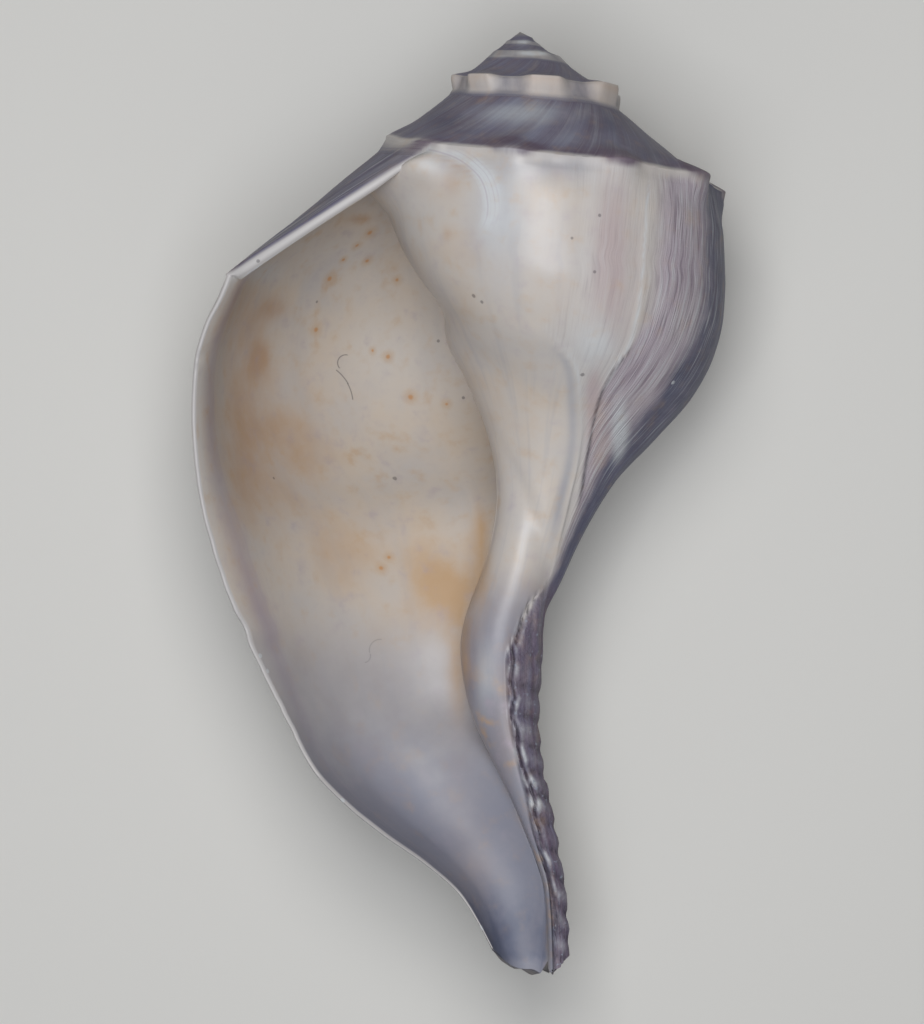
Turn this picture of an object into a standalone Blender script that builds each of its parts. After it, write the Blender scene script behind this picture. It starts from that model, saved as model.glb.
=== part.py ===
"""A snow whelk's shell: a left-handed sea snail's shell, lying on its back with its opening up.

The shell grew as one tube that winds round an axis, so it is one solid with the hollow of that tube inside.
Inside the functions lengths are in mm: x is to the right, h is down the axis from the apex, z is up.
The angle t is in degrees and grows with the shell: 0 is the right side, 90 the back, 180 the left side
with the lip's edge near 195, and -90 the front, one turn before. Each turn back in time takes 360 off it.
"""

import bmesh
import bpy
import numpy as np

NAME = "shell"

# Driving dimensions, mm and degrees
LENGTH = 200.0
GROWTH_PER_DEGREE = 0.0020
ATTACH_ANGLE = -128.0
SPIRE_TURNS = 3.5
LIP_THICKNESS = 1.1
WALL_THICKNESS = 2.8
THICKENING_ANGLE = 20.0
LUMEN_DEPTH_ANGLE = 400.0
KNOB_HEIGHT = 1.9
FASCIOLE_HEIGHT = 1.2
FLAT_SPOT_DEPTH = 0.9

# How finely the solid is faceted
COLUMNS_PER_TURN = 48
RAMP_ROWS = 7
FACE_ROWS = 3
BODY_ROWS = 19
LUMEN_COLUMNS = 26

# Short outlines, each a list of (where, how much)
SHOULDER_HEIGHT = [(-1440, 1.4), (-1080, 3.1), (-720, 6.1), (-540, 9.6), (-360, 14.0), (-180, 21.9), (-90, 28.5),
                   (0, 34.9), (90, 42.6), (197, 51.1), (300, 58.0)]
KNOB_NUMBER = [(-1440, -36.0), (-900, -20.0), (-484, -11.0), (-384, -9.0), (-176, -5.0), (-95, -3.0), (-22, -1.0),
               (12, 0.0), (300, 9.0)]
BODY_RADIUS = [(21.3, 31.9), (33.0, 39.4), (39.4, 40.6), (45.7, 41.5), (53.2, 41.4), (61.7, 40.6), (70.2, 38.1),
               (78.7, 33.2), (87.2, 25.3), (95.7, 17.7), (104.3, 13.2), (112.8, 10.2), (119.1, 8.4), (127.7, 4.0),
               (140.4, 0.6), (202.0, 0.1)]
LIP_RADIUS = [(51.1, 65.0), (55.7, 67.0), (61.7, 70.2), (70.2, 72.7), (82.9, 73.6), (95.7, 73.1), (112.8, 70.0),
              (129.8, 63.6), (146.8, 55.5), (155.3, 50.9), (163.8, 42.8), (170.2, 34.9), (176.6, 25.9), (183.0, 18.9),
              (189.4, 14.9), (200.0, 10.0)]
CENTRE_LINE = [(0, 0.0), (85, 0.0), (96, -0.4), (113, -3.2), (130, -7.2), (145, -7.5), (155, -6.3), (166, -3.8),
               (174.5, -1.4), (183, 0.6), (191.5, 0.9), (202, 0.8)]
PILLAR_RADIUS = [(0, 0.6), (12.8, 1.7), (25.5, 3.4), (38.3, 6.0), (46.8, 10.6), (54.3, 16.2), (63.8, 17.4),
                 (74.5, 13.2), (85, 9.4), (96, 7.2), (106, 6.6), (119, 7.0), (130, 7.1), (140, 6.6), (153, 5.6),
                 (166, 4.4), (179, 3.0), (189, 2.5), (202, 2.6)]
FASCIOLE_START = [(112, -20), (121, -45), (129, -72), (134, -86), (151, -80), (162, -77), (172, -88), (200, -85)]
WALL_LEAVES_PILLAR = [(0, 0.0), (85, 0.0), (102, 8.0), (119, 18.0), (130, 26.0), (147, 38.0), (164, 50.0), (181, 65.0),
                      (200, 75.0)]
OPENING_RATE = [(0.0, 0.62), (0.20, 0.62), (0.30, 0.45), (0.40, 0.15), (0.50, 0.20), (0.60, 0.50), (0.75, 1.0),
                (1.0, 1.3)]
LIP_ANGLE = [(0, 197.0), (51, 197.0), (64, 194.0), (85, 192.0), (149, 190.0), (170, 192.0), (187, 198.0),
             (200, 206.0)]
LUMEN_FLOOR = [(-400, 46.0), (-360, 48.5), (-180, 71.3), (0, 102.1), (45, 127.7), (90, 163.8), (115, 191.5),
               (125, LENGTH)]

SHOULDER_LIP_ANGLE = 197.0
OPEN_ANGLE = 125.0
SUTURE_STEP = 2.2


def curve(points, x):
    """A smooth curve through a few (x, y) points that never overshoots them, read at x."""
    px, py = np.array(points, float).T
    step = np.diff(px)
    slope = np.diff(py) / step
    tangent = np.concatenate([slope[:1], np.zeros(len(px) - 2), slope[-1:]])
    same_way = slope[:-1] * slope[1:] > 0
    before, after = 2 * step[1:] + step[:-1], step[1:] + 2 * step[:-1]
    with np.errstate(divide="ignore", invalid="ignore"):
        mean = (before + after) / (before / slope[:-1] + after / slope[1:])
    tangent[1:-1] = np.where(same_way, mean, 0.0)
    x = np.asarray(x, float)
    k = np.clip(np.searchsorted(px, x) - 1, 0, len(px) - 2)
    f = np.clip((x - px[k]) / step[k], 0, 1)
    return (
        (2 * f**3 - 3 * f**2 + 1) * py[k]
        + (f**3 - 2 * f**2 + f) * step[k] * tangent[k]
        + (3 * f**2 - 2 * f**3) * py[k + 1]
        + (f**3 - f**2) * step[k] * tangent[k + 1]
    )


def smooth(a, b, x):
    """0 up to a, 1 from b on, with a soft start and end."""
    f = np.clip((x - a) / (b - a), 0, 1)
    return f * f * (3 - 2 * f)


def soft_max(a, b, sharpness=5.0):
    """The larger of two radii, with a fillet where they meet."""
    a, b = np.maximum(a, 1e-3), np.maximum(b, 1e-3)
    most = np.maximum(a, b)
    return most * ((a / most) ** sharpness + (b / most) ** sharpness) ** (1 / sharpness)


def growth(t):
    return np.exp(GROWTH_PER_DEGREE * t)


def shoulder(t):
    """Height of the shoulder, the corner between the sloping ramp and the side of a whorl."""
    return curve(SHOULDER_HEIGHT, t)


def suture(t):
    """Height at which the next whorl covers this one."""
    return shoulder(t) * (1.27 - 0.23 * smooth(-400, ATTACH_ANGLE, t))


def seam(t):
    """Height at which the inside of the last whorl meets the whorl before it."""
    return suture(t) + SUTURE_STEP * growth(np.minimum(t, 0)) / growth(ATTACH_ANGLE)


def tip(t):
    """Height of the canal's end, a little shorter at the lip and at the right side."""
    return LENGTH - 5.5 * np.exp(-(((t - 208) / 28) ** 2)) - 4.0 * np.exp(-(((t - 5) / 50) ** 2))


def centre(h):
    return curve(CENTRE_LINE, h)


def pillar(t, h):
    """Radius of the columella. It swells on the side of the opening, and down its right side runs the
    fasciole, the raised cord of old canal ends, which starts with a step at the callus edge."""
    swelling = 2.4 * np.exp(-(((h - 132) / 16) ** 2)) * np.exp(-(((t + 168) / 50) ** 2))
    callus_edge = curve(FASCIOLE_START, h)
    cord = smooth(callus_edge - 6, callus_edge + 14, t) * (1 - smooth(-20, 45, t)) * smooth(114, 128, h)
    return curve(PILLAR_RADIUS, h) + swelling + FASCIOLE_HEIGHT * cord


def radius(t, h):
    """Outer radius about the centre line at and below the shoulder."""
    t, h = np.broadcast_arrays(np.asarray(t, float), np.asarray(h, float))
    first = shoulder(0.0)
    grown = growth(t) * curve(BODY_RADIUS, h * first / shoulder(np.minimum(t, 0)))
    top = shoulder(np.maximum(t, 0))
    u = np.clip((h - top) / (LENGTH - top), 0, 1)
    start = curve(BODY_RADIUS, first + u * (LENGTH - first))
    lip_height = shoulder(SHOULDER_LIP_ANGLE) + u * (LENGTH - shoulder(SHOULDER_LIP_ANGLE))
    end = curve(LIP_RADIUS, lip_height) + centre(lip_height)
    leaves = curve(WALL_LEAVES_PILLAR, h)
    soft = 12.0
    x = soft * np.log1p(np.exp(np.clip((t - leaves) / soft, -30, 30))) / (194.0 - leaves)
    rate = curve(OPENING_RATE, u)
    opened = start + (rate * x + (1 - rate) * x * x) * (end - start)
    newest = smooth(-10, 10, t)
    return soft_max(grown * (1 - newest) + opened * newest, pillar(t, h))


def knob(t, h):
    """Outward push of the knobs along the shoulder, which fade toward the lip."""
    wave = (0.5 + 0.5 * np.cos(2 * np.pi * curve(KNOB_NUMBER, t))) ** 1.6
    size = KNOB_HEIGHT * growth(np.minimum(t, 0)) * (1 - 0.55 * smooth(60, 190, t))
    top = shoulder(t)
    spread = np.where(h < top, 0.10, 0.14) * top
    return size * wave * np.exp(-(((h - top) / spread) ** 2))


def with_knobs(t, r, h, knobs):
    push = knob(t, h) if knobs else 0.0
    return r + push, h - 0.25 * push


def ramp_point(t, f, knobs=True):
    """A point of the ramp between the suture above (f 0) and the shoulder (f 1)."""
    r0, h0 = radius(t - 360, suture(t - 360)), suture(t - 360)
    r1, h1 = radius(t, shoulder(t)), shoulder(t)
    bend = 0.68 - 0.16 * smooth(-400, 0, t)
    rc, hc = r0 + 0.5 * (r1 - r0), h0 + bend * (h1 - h0)
    r = (1 - f) ** 2 * r0 + 2 * f * (1 - f) * rc + f * f * r1
    h = (1 - f) ** 2 * h0 + 2 * f * (1 - f) * hc + f * f * h1
    return with_knobs(t, r, h, knobs)


def face_point(t, f, knobs=True):
    """A point of the side between the shoulder (f 0) and the suture below (f 1)."""
    h = shoulder(t) + f * (suture(t) - shoulder(t))
    return with_knobs(t, radius(t, h), h, knobs)


def body_point(t, f, knobs=True):
    """A point of the last whorl between the suture below (f 0) and the canal's end (f 1)."""
    h = seam(t) + f * (tip(t) - seam(t))
    return with_knobs(t, radius(t, h), h, knobs)


def place(t, r, h):
    """(x, h, z) of a point at angle t, radius r about the centre line, and height h."""
    a = np.radians(t)
    return np.stack(np.broadcast_arrays(centre(h) + r * np.cos(a), h, -r * np.sin(a)), -1)


class Cage:
    """Vertices and faces as they are added."""

    def __init__(self):
        self.points = []
        self.faces = []

    def add(self, points):
        """Index of each point, in the array's shape."""
        points = np.asarray(points, float)
        first = len(self.points)
        self.points.extend(points.reshape(-1, 3))
        return np.arange(first, len(self.points)).reshape(points.shape[:-1])

    def skin(self, grid):
        """Quads over a grid of indices. Corners that are one vertex make a triangle."""
        corners = np.stack([grid[:-1, :-1], grid[1:, :-1], grid[1:, 1:], grid[:-1, 1:]], -1).reshape(-1, 4)
        for quad in corners.tolist():
            self.face(quad)

    def face(self, loop):
        once = list(dict.fromkeys(loop))
        if len(once) > 2:
            self.faces.append(once)


def body_fractions():
    return np.linspace(0, 1, BODY_ROWS) ** 1.15


def upper_fractions():
    """Fractions of the ramp rows, close together near the shoulder, and of the face rows."""
    ramp = 1 - (1 - np.arange(RAMP_ROWS) / RAMP_ROWS) ** 1.3
    return ramp, np.linspace(0, 1, FACE_ROWS)


def spire(cage):
    """The whorls up to the one that bears the lip, each sewn to the one before along its suture."""
    ramp, face = upper_fractions()
    count = round(COLUMNS_PER_TURN * SPIRE_TURNS)
    t = ATTACH_ANGLE - 360 * SPIRE_TURNS + np.arange(count + 1) * 360 / COLUMNS_PER_TURN
    rows = [place(t, *ramp_point(t, f)) for f in ramp] + [place(t, *face_point(t, f)) for f in face]
    grid = np.empty((len(rows), count + 1), int)
    grid[1:] = cage.add(rows[1:])
    grid[0, :COLUMNS_PER_TURN] = cage.add(rows[0][:COLUMNS_PER_TURN])
    grid[0, COLUMNS_PER_TURN:] = grid[-1, : count + 1 - COLUMNS_PER_TURN]
    cage.skin(grid)
    apex = cage.add([0.0, cage.points[grid[0, 0]][1] - 0.5, 0.0])
    rim = list(grid[0, :COLUMNS_PER_TURN]) + list(grid[:0:-1, 0])
    for a, b in zip(rim, rim[1:] + rim[:1]):
        cage.face([int(a), int(b), int(apex)])
    return grid


def lip_line(f, kind):
    """Angle of the lip's edge along a row."""
    if kind == "ramp":
        start = ATTACH_ANGLE + 360
        return start + (SHOULDER_LIP_ANGLE - start) * smooth(0.2, 1, f)
    if kind == "face":
        return np.full_like(f, SHOULDER_LIP_ANGLE)
    top = seam(SHOULDER_LIP_ANGLE)
    return curve(LIP_ANGLE, top + f * (LENGTH - top))


def start_line(f):
    """Angle at which a body row starts: where the lip's edge would be one turn before, and the lip's
    attachment at the top row."""
    before = lip_line(f, "body") - 360
    return before + (ATTACH_ANGLE - before) * np.exp(-f / 0.05)


def last_whorl(cage, spire_grid):
    """The whorl that bears the lip, down to the canal's end. Its outer side only."""
    ramp, face = upper_fractions()
    body = body_fractions()
    v = np.arange(COLUMNS_PER_TURN + 1) / COLUMNS_PER_TURN
    upper = len(ramp) + len(face)

    def row(point, f, start, end):
        t = start + v * (end - start)
        return place(t, *point(t, f))

    rows = [row(ramp_point, f, ATTACH_ANGLE, lip_line(f, "ramp")) for f in ramp]
    rows += [row(face_point, f, ATTACH_ANGLE, SHOULDER_LIP_ANGLE) for f in face]
    rows += [row(body_point, f, start_line(f), lip_line(f, "body")) for f in body]
    grid = np.empty((len(rows), len(v)), int)
    grid[0] = spire_grid[-1, -len(v):]
    grid[:upper, 0] = spire_grid[:, -1]
    grid[1:upper, 1:] = cage.add(np.array(rows[1:upper])[:, 1:])
    grid[upper:] = cage.add(rows[upper:])
    cage.skin(grid)
    return grid


def offset_inward(point, t, f, thickness):
    """A row's (r, h) moved into the wall, square to the outline."""
    small = 1e-3
    r, h = point(t, f, False)
    r0, h0 = point(t, max(f - small, 0), False)
    r1, h1 = point(t, min(f + small, 1), False)
    length = np.hypot(r1 - r0, h1 - h0)
    return r - thickness * (h1 - h0) / length, h + thickness * (r1 - r0) / length


def lumen(cage, outer):
    """The hollow of the tube, seen through the opening. Its outer wall is the shell's wall, and its inner
    wall is the whorl before and the pillar. Columns run back in time from the lip by the angle q."""
    ramp, face = upper_fractions()
    body = body_fractions()
    upper = len(ramp) + len(face)
    share = np.arange(LUMEN_COLUMNS + 1) / LUMEN_COLUMNS
    q = LUMEN_DEPTH_ANGLE * share**1.25
    here = 192 - q
    is_open = here >= OPEN_ANGLE
    floor = curve(LUMEN_FLOOR, here)
    full = WALL_THICKNESS * growth(np.minimum(0, here - 60))
    thickness = LIP_THICKNESS + (full - LIP_THICKNESS) * (1 - np.exp(-q / THICKENING_ANGLE))

    def end_of(t):
        return np.where(is_open, tip(t), np.minimum(floor, tip(t)))

    rows = []
    for f in ramp[1:]:
        t = lip_line(f, "ramp") - q
        r, h = offset_inward(ramp_point, t, f, thickness)
        r_top, h_top = offset_inward(ramp_point, t, 0.0, thickness)
        corner = seam(t - 360)
        pull = (1 - f) ** 2
        rows.append(place(t, r + pull * (radius(t - 360, corner) - r_top), h + pull * (corner - h_top)))
    for f in face:
        t = SHOULDER_LIP_ANGLE - q
        rows.append(place(t, *offset_inward(face_point, t, f, thickness)))
    for f in body:
        t = lip_line(f, "body") - q
        h = seam(t) + f * (end_of(t) - seam(t))
        slope = radius(t, h + 0.5) - radius(t, h - 0.5)
        inner = radius(t - 360, h)
        gap = np.where(is_open, 0.6, 1.2 * np.sqrt(1 - f))
        rows.append(place(t, np.maximum(radius(t, h) - thickness * np.sqrt(1 + slope**2), inner + gap), h))
    inner_rows = []
    for f in body:
        t = start_line(f) - q
        h = seam(t) + f * (end_of(t) - seam(t))
        inner_rows.append(place(t, radius(t, h), h))

    outside = cage.add(rows)
    inside = np.empty((len(body), len(q)), int)
    inside[:, 0] = outer[upper:, 0]
    inside[:, 1:] = cage.add(np.array(inner_rows)[:, 1:])
    outside[-1, ~is_open] = inside[-1, ~is_open]
    cage.skin(np.vstack([inside[::-1], outside]))

    rim = np.vstack([outer[1:, -1], outside[:, 0]])
    cage.skin(rim)
    cage.face([int(k) for k in (outer[0, -1], outer[1, -1], outside[0, 0], inside[0, 0])])
    closes = int(np.argmin(is_open))
    end = list(outer[-1, ::-1]) + list(inside[-1, 1:closes]) + [outside[-1, closes]] + list(outside[-1, closes - 1::-1])
    cage.face([int(k) for k in end])
    cage.face([int(k) for k in list(inside[::-1, -1]) + list(outside[:-1, -1])])


def cut_flat_spot(mesh, floor):
    """Cuts the back off level, where the shell rests."""
    cut = bmesh.ops.bisect_plane(
        mesh,
        geom=mesh.verts[:] + mesh.edges[:] + mesh.faces[:],
        plane_co=(0, 0, floor),
        plane_no=(0, 0, -1),
        clear_outer=True,
    )["geom_cut"]
    bmesh.ops.contextual_create(mesh, geom=[e for e in cut if isinstance(e, bmesh.types.BMEdge)])


def shell_mesh():
    """The closed mesh in metres, its box centred over the origin and its flat spot at z 0."""
    cage = Cage()
    whorls = spire(cage)
    lumen(cage, last_whorl(cage, whorls))
    x, h, z = np.array(cage.points).T
    points = np.stack([x - (x.min() + x.max()) / 2, (h.min() + h.max()) / 2 - h, z - z.min() - FLAT_SPOT_DEPTH], 1)
    data = bpy.data.meshes.new(NAME)
    data.from_pydata((points * 0.001).tolist(), [], cage.faces)
    mesh = bmesh.new()
    mesh.from_mesh(data)
    bmesh.ops.recalc_face_normals(mesh, faces=mesh.faces)
    cut_flat_spot(mesh, 0.0)
    bmesh.ops.recalc_face_normals(mesh, faces=mesh.faces)
    mesh.to_mesh(data)
    mesh.free()
    return data


def shell_material():
    material = bpy.data.materials.new("cream_shell")
    material.use_nodes = True
    principled = material.node_tree.nodes["Principled BSDF"]
    principled.inputs["Base Color"].default_value = (0.62, 0.53, 0.44, 1.0)
    principled.inputs["Roughness"].default_value = 0.35
    principled.inputs["Metallic"].default_value = 0.0
    return material


def main():
    for old in list(bpy.data.objects):
        bpy.data.objects.remove(old)
    shell = bpy.data.objects.new(NAME, shell_mesh())
    shell.data.materials.append(shell_material())
    collection = bpy.data.collections.new("snow_whelk_shell")
    bpy.context.scene.collection.children.link(collection)
    collection.objects.link(shell)


main()
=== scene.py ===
"""The looks of a snow whelk's shell that lies on its back, and the plain studio it is seen in.

Inside the functions lengths are in mm: x is to the right, h is down the axis from the apex, z is up.
The angle t is in degrees and grows with the shell: 0 is the right side, 90 the back, 180 the left side
with the lip's edge near 195, and -90 the front, one turn before.
"""

import math
from functools import partial

import bpy
import numpy as np
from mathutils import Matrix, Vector


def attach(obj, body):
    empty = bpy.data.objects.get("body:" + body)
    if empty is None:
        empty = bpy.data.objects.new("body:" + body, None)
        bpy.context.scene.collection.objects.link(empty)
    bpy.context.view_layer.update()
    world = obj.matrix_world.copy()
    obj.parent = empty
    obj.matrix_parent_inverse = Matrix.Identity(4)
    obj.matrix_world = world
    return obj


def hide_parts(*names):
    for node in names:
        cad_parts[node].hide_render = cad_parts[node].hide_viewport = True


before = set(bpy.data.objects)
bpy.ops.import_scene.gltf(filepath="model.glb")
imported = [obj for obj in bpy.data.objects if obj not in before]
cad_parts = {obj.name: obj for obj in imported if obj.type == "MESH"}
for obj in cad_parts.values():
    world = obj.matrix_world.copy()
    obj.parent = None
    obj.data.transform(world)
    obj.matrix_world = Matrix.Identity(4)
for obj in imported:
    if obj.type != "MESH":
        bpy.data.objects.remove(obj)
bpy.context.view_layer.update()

bl_info = {
    "name": "Snow whelk shell",
    "version": (1, 0, 0),
    "blender": (4, 5, 0),
    "location": "3D View > Sidebar > Whelk shell",
    "description": "Models a left-handed whelk's shell with its growth lines, callus and stained opening",
    "category": "Add Mesh",
}

# Where the shell's apex and axis are in the frame, mm
AXIS_X, APEX_Y, AXIS_Z = 14.598, 100.639, 52.591

# The picture: its size, where the apex is in it, the shell's slant in it, and the camera's distance
PICTURE_WIDTH, PICTURE_HEIGHT = 924, 1024
APEX_PIXEL = (520.0, 30.0)
MM_PER_PIXEL = 200.0 / 940.0
SLANT = math.radians(1.72)
CAMERA_DISTANCE = 1000.0
SENSOR = 24.0

# Driving dimensions of the shell, mm and degrees. MM_PER_RADIAN is how long a radian of growth is near the lip.
LENGTH = 200.0
MM_PER_RADIAN = 65.0
FAR_FROM_LIP = 90.0
GROWTH_PER_DEGREE = 0.0020
ATTACH_ANGLE = -128.0
THICKENING_ANGLE = 20.0
LUMEN_DEPTH_ANGLE = 400.0
SHOULDER_LIP_ANGLE = 197.0
LIP_MIDDLE_ANGLE = 192.0
OPENING_END_ANGLE = 194.0
OPEN_ANGLE = 125.0
SUTURE_STEP = 1.4
LUMP_SPACING = 5.8
PAD_THICKNESS = 4.6
SHELF_THICKNESS = 1.3
BEVEL_THICKNESS = 3.2
LEAST_GAP = 0.6
RIDGE_HEIGHT = 0.18
BEAD_HEIGHT = 0.18

# How finely the mesh is drawn
COLUMNS_PER_TURN = 280
RAMP_ROWS = 14
FACE_ROWS = 6
BODY_ROWS = 138
LUMEN_COLUMNS = 84
RIM_ROWS = 3
COLUMN_DENSITY = [(0.0, 1.5), (0.06, 1.1), (0.33, 1.1), (0.42, 0.75), (0.86, 0.75), (0.93, 1.5), (0.97, 2.6),
                  (1.0, 2.6)]

# Short outlines, each a list of (where, how much)
SHOULDER_HEIGHT = [(-1440, 1.4), (-1080, 3.1), (-720, 6.1), (-540, 9.6), (-360, 14.0), (-180, 21.9), (-90, 28.5),
                   (0, 34.9), (90, 42.6), (197, 51.1), (300, 58.0)]
KNOB_NUMBER = [(-1440, -36.0), (-900, -20.0), (-484, -11.0), (-384, -9.0), (-176, -5.0), (-95, -3.0), (-22, -1.0),
               (12, 0.0), (300, 9.0)]
BODY_RADIUS = [(21.3, 31.9), (33.0, 39.4), (39.4, 40.6), (45.7, 41.5), (53.2, 41.4), (61.7, 40.6), (70.2, 38.1),
               (78.7, 33.2), (87.2, 25.3), (95.7, 17.7), (104.3, 13.2), (112.8, 10.2), (119.1, 8.4), (127.7, 4.0),
               (140.4, 0.6), (202.0, 0.1)]
LIP_RADIUS = [(51.1, 65.0), (55.7, 67.0), (61.7, 70.2), (70.2, 72.7), (82.9, 73.6), (95.7, 73.1), (112.8, 70.0),
              (129.8, 63.6), (146.8, 55.5), (155.3, 50.9), (163.8, 42.8), (170.2, 34.9), (176.6, 25.9),
              (183.0, 18.9), (189.4, 14.9), (200.0, 10.0)]
CENTRE_LINE = [(0, 0.0), (85, 0.0), (96, -0.4), (113, -3.2), (130, -7.2), (145, -7.5), (155, -6.3), (166, -3.8),
               (174.5, -1.4), (183, 0.6), (191.5, 0.9), (202, 0.8)]
PILLAR_RADIUS = [(0, 0.6), (12.8, 1.7), (25.5, 3.4), (38.3, 6.0), (46.8, 10.6), (54.3, 16.2), (63.8, 17.4),
                 (74.5, 13.2), (85, 9.4), (96, 7.2), (106, 6.6), (119, 7.0), (130, 7.1), (140, 6.6), (153, 5.6),
                 (166, 4.4), (179, 3.0), (189, 2.5), (202, 2.6)]
FASCIOLE_START = [(112, -20), (121, -45), (129, -72), (134, -86), (151, -80), (162, -77), (172, -88), (200, -85)]
WALL_LEAVES_PILLAR = [(0, 0.0), (85, 0.0), (102, 8.0), (119, 18.0), (130, 26.0), (147, 38.0), (164, 50.0),
                      (181, 65.0), (200, 75.0)]
OPENING_RATE = [(0.0, 0.62), (0.20, 0.62), (0.30, 0.45), (0.40, 0.15), (0.50, 0.20), (0.60, 0.50), (0.75, 1.0),
                (1.0, 1.3)]
LIP_ANGLE = [(0, 197.0), (51, 197.0), (64, 194.0), (85, 192.0), (149, 190.0), (170, 192.0), (187, 198.0),
             (200, 206.0)]
LUMEN_FLOOR = [(-400, 46.0), (-360, 48.5), (-180, 71.3), (0, 102.1), (45, 127.7), (90, 163.8), (115, 191.5),
               (125, LENGTH)]

# Lines down the shell in the picture, as (down, across) in its pixels. The callus ends at a thin edge,
# which lower down is the crack between the columella and the fasciole.
CALLUS_EDGE = [(130, 560), (165, 580), (200, 596), (250, 600), (300, 580), (332, 548), (355, 570), (367, 577),
               (385, 580), (430, 582), (470, 577), (490, 572), (540, 560), (588, 546), (606, 527), (635, 519),
               (660, 513), (700, 512), (740, 518), (790, 530), (840, 540), (900, 552), (940, 556), (1000, 557)]
GROWTH_RIDGE = [(130, 653), (165, 650), (240, 645), (300, 640), (346, 629), (371, 610), (399, 596), (461, 583),
                (507, 575), (540, 562), (600, 547), (1000, 547)]

# Chips in the lip's edge, as (height, depth in degrees, width)
LIP_CHIPS = [(69.5, 1.0, 1.6), (127.5, 1.1, 2.0), (150.0, 0.5, 1.2)]

# The last layers of the lip, as (degrees back from its edge, width)
LIP_LAYERS = [(1.2, 0.5), (3.2, 0.6), (6.4, 0.8), (8.0, 0.5), (12.5, 0.9)]

# Marks that are too small for the mesh, as (across, down, radius in mm) in the picture's pixels
ORANGE_SPOTS = [(375, 232, 0.8), (356, 247, 0.6), (363, 265, 0.6), (325, 282, 0.8), (361, 296, 0.7),
                (320, 333, 0.7), (392, 281, 0.5), (387, 360, 0.6), (411, 392, 0.7), (444, 401, 0.5),
                (378, 352, 0.4), (397, 372, 0.4), (393, 555, 0.5), (387, 567, 0.6), (450, 376, 0.5),
                (340, 262, 0.5)]
DARK_SPECKS = [(393, 477, 0.6), (433, 341, 0.4), (462, 393, 0.35), (445, 436, 0.4), (319, 306, 0.35),
               (255, 259, 0.4), (271, 475, 0.35), (428, 322, 0.6), (604, 217, 0.4), (577, 237, 0.35),
               (596, 275, 0.4), (470, 297, 0.5), (477, 305, 0.45), (588, 376, 0.5)]
WHITE_FLECKS = [(675, 388, 0.5), (266, 656, 0.5), (272, 667, 0.5), (343, 797, 0.5), (480, 930, 0.6)]

# Two fibres of dust on the glaze, as bends of a circle: the circle (across, down, radius), the part of it that
# is there (across, down, reach), in the picture's pixels, and how dark it is
DUST_FIBRES = [((346.0, 363.0, 8.6), (338.7, 358.7, 9.6), 0.6), ((310.1, 404.8, 45.2), (344.2, 375.3, 9.4), 0.6),
               ((310.1, 404.8, 45.2), (353.2, 391.0, 9.0), 0.6), ((380.0, 650.0, 10.7), (372.0, 642.8, 9.8), 0.25),
               ((364.0, 656.0, 6.6), (369.6, 659.4, 5.5), 0.25)]
FIBRE_WIDTH = 0.22  # mm

# Soft round patches of each colour, as (across, down, width, height, strength) in the picture's pixels: on the
# front of the last whorl and its callus, on the sloping ramp above it, and on the wall inside the opening
FRONT_PATCHES = {
    "slate": [(684, 392, 16, 26, 0.8), (656, 430, 9, 16, 0.7)],
    # Of the white patches, the one at (486, 680) on the columella's pared left side is painted light, and the one
    # at (415, 220) is partly its paler glaze, partly painted light
    "white": [(500, 215, 34, 60, 0.6), (430, 162, 14, 10, 0.4), (552, 160, 34, 9, 0.15), (622, 425, 10, 28, 0.6),
              (600, 345, 26, 20, 0.3), (415, 220, 30, 60, 0.4), (590, 350, 34, 50, 0.4), (486, 680, 14, 60, 0.45),
              (618, 440, 9, 40, 0.5)],
    "pink": [(613, 262, 24, 85, 0.9), (600, 440, 14, 40, 0.8), (594, 400, 8, 32, 0.8)],
    "tan": [(452, 182, 12, 18, 0.5), (447, 235, 7, 8, 0.4), (425, 190, 16, 20, 0.25), (492, 139, 20, 4, 0.7),
            (590, 145, 14, 4, 0.6), (565, 250, 34, 70, 0.22)],
    "blue": [(560, 166, 70, 14, 0.45), (470, 240, 22, 60, 0.15), (560, 250, 36, 80, 0.3),
             (440, 168, 26, 14, 0.35)],
    "matt": [(440, 165, 40, 40, 1.0)],
}
RAMP_PATCHES = {
    # The slate, white, blue and brushed patches near (524, 114) lighten the ramp's middle: partly its paler
    # colour, partly painted light
    "slate": [(528, 114, 50, 16, -0.5)],
    "white": [(524, 113, 50, 13, 0.55), (522, 42, 20, 10, 0.3)],
    "blue": [(522, 114, 56, 14, 1.1), (570, 138, 40, 7, 0.7)],
    "brushed": [(520, 114, 44, 13, 0.9), (560, 136, 30, 8, 0.7), (500, 66, 30, 6, 0.2), (452, 120, 26, 14, -0.5),
                (610, 122, 30, 14, -0.3), (655, 150, 22, 12, -0.3)],
}
WALL_PATCHES = {
    # The white patches high on this wall are painted light that lifts the shade under the lip
    "white": [(320, 250, 80, 34, 0.4), (260, 272, 24, 14, 0.5), (390, 350, 70, 60, 0.4)],
    "tan": [(285, 450, 50, 90, 0.5), (240, 470, 26, 110, 0.4), (275, 310, 14, 13, 0.6), (455, 800, 18, 70, 0.25),
            (485, 885, 10, 50, 0.25), (260, 360, 10, 16, 0.6), (345, 560, 40, 40, 0.3), (360, 218, 13, 4, 0.8),
            (240, 330, 26, 60, 0.4)],
}

# The soft square lights over the shell's middle: name, width, colour and place, in metres
SHELL_MIDDLE = (0.0, 0.0, 0.04)
STUDIO_LIGHTS = [("key", 0.26, (1.0, 0.99, 0.97), (-0.02, 0.19, 0.70)),
                 ("overhead", 0.35, (0.95, 0.97, 1.0), (-0.04, -0.08, 0.85)),
                 ("fill", 0.80, (1.0, 0.97, 0.93), (-0.10, -0.50, 0.70))]


def linear(hex_colour):
    """A colour written as sRGB hex, as the linear values that Blender mixes."""
    channels = [int(hex_colour[k:k + 2], 16) / 255 for k in (1, 3, 5)]
    return tuple(c / 12.92 if c <= 0.04045 else ((c + 0.055) / 1.055) ** 2.4 for c in channels)


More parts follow.
